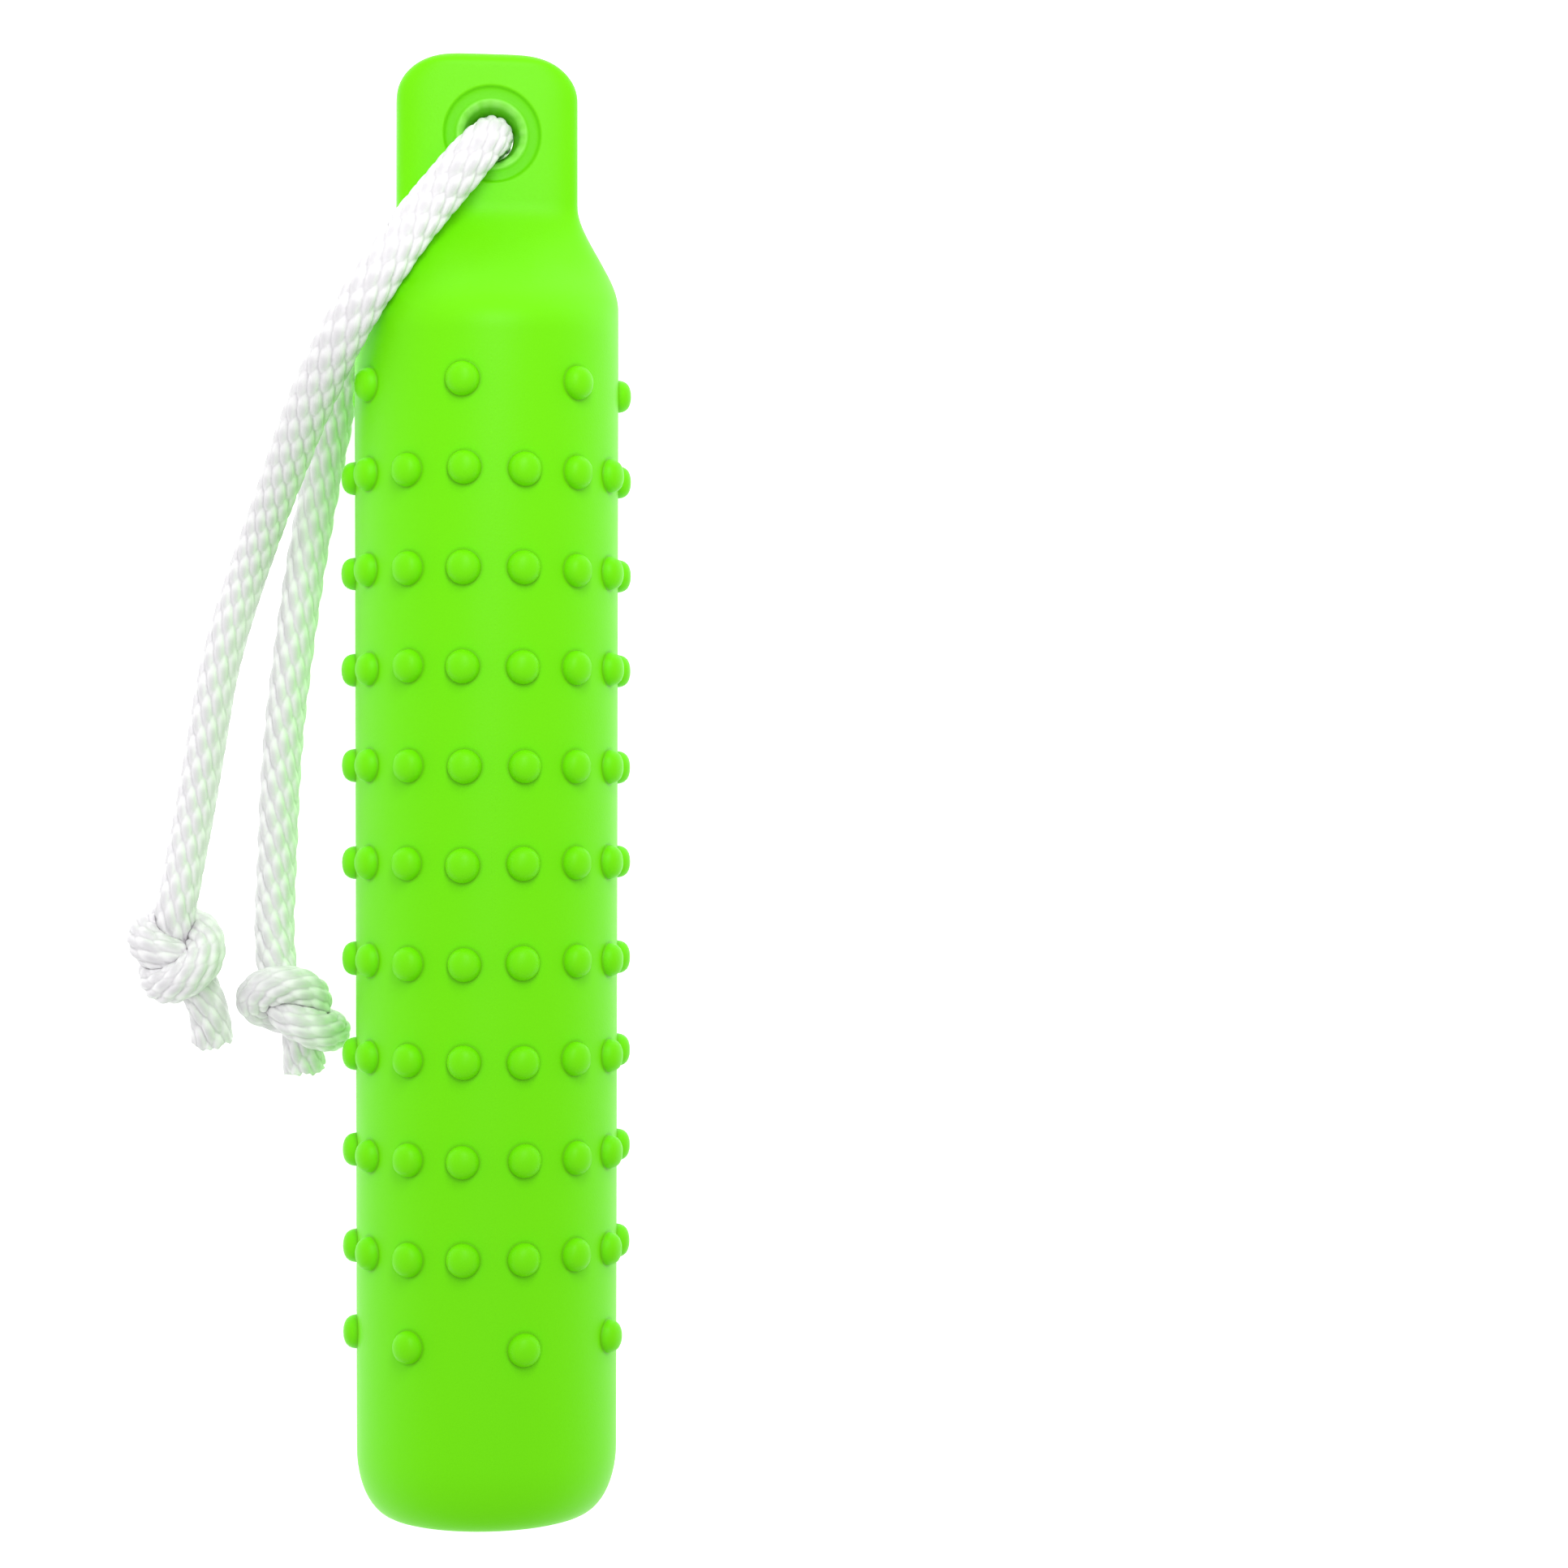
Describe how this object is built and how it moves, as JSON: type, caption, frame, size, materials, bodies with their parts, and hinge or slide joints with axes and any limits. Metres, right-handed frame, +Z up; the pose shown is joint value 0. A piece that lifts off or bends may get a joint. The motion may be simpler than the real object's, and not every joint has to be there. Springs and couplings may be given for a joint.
{
  "type": "dog training bumper",
  "caption": "Nubbed floating retrieving bumper: hollow moulded body with a flat tab and eye at one end, an inflation valve in the base, and a knotted throw rope through the eye.",
  "frame": {"origin": "on the surface the bumper lies on, under the middle of the body (rope left out)", "axes": "+Y along the body towards the tab, +Z up, away from the surface and square to the tab's face; the rope lies on the -X side"},
  "size_m": [0.0991, 0.284, 0.0561],
  "materials": {
    "body_vinyl": "satin bright lime green moulded vinyl",
    "valve_rubber": "matt black rubber",
    "rope_fibre": "bright white glossy multifilament braid"
  },
  "bodies": {
    "bumper": {"bumper_body": "body_vinyl", "needle_valve": "valve_rubber"},
    "rope": {"rope_front_run": "rope_fibre", "rope_front_knot": "rope_fibre", "rope_back_run": "rope_fibre", "rope_back_knot": "rope_fibre"}
  },
  "joints": [
    {"name": "rope_swing", "type": "hinge", "parent": "bumper", "child": "rope", "pos_m": [0.001, 0.1261, 0.02806], "axis": [0, 0, 1], "range_deg": [-280, 0]}
  ]
}
